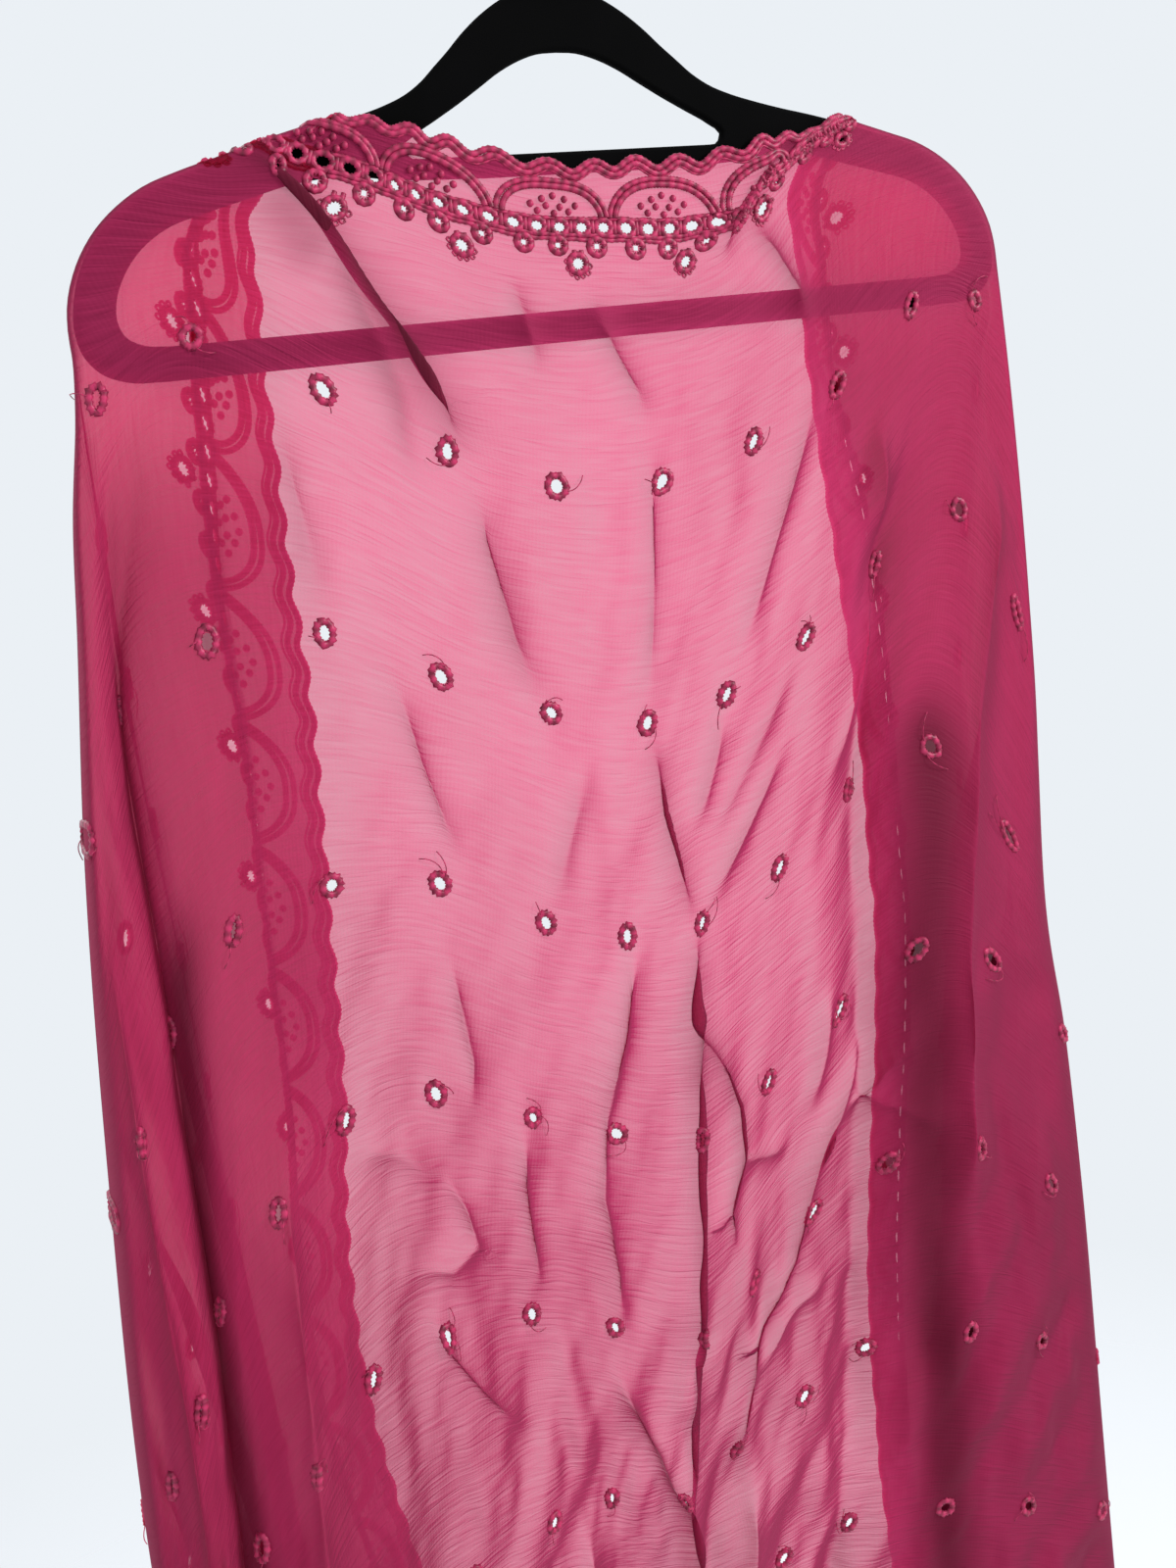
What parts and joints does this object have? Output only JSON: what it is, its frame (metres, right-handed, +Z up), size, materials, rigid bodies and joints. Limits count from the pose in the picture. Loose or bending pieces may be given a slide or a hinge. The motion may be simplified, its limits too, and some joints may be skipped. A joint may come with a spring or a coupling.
{
  "type": "dupatta stole on a flocked hanger",
  "caption": "Dupatta stole of crinkle chiffon with eyelets and a corded scalloped edge, hung over a flocked hanger with both ends falling behind",
  "frame": {"origin": "underside of the hook's top, where a rail carries it", "axes": "+Z up, -Y towards the front of the stole, +X to the right of someone looking at its front"},
  "size_m": [0.541, 0.1014, 1.4506],
  "materials": {
    "front_chiffon": "sheer crinkled weave",
    "left_end_chiffon": "sheer crinkled weave",
    "right_end_chiffon": "sheer crinkled weave",
    "black_flock": "short black flock on a rigid plastic body",
    "hook_steel": "bright wire"
  },
  "bodies": {
    "root": {"front_drape": "front_chiffon", "left_end": "left_end_chiffon", "right_end": "right_end_chiffon", "hanger_frame": "black_flock", "hanger_hook": "hook_steel"}
  },
  "joints": []
}
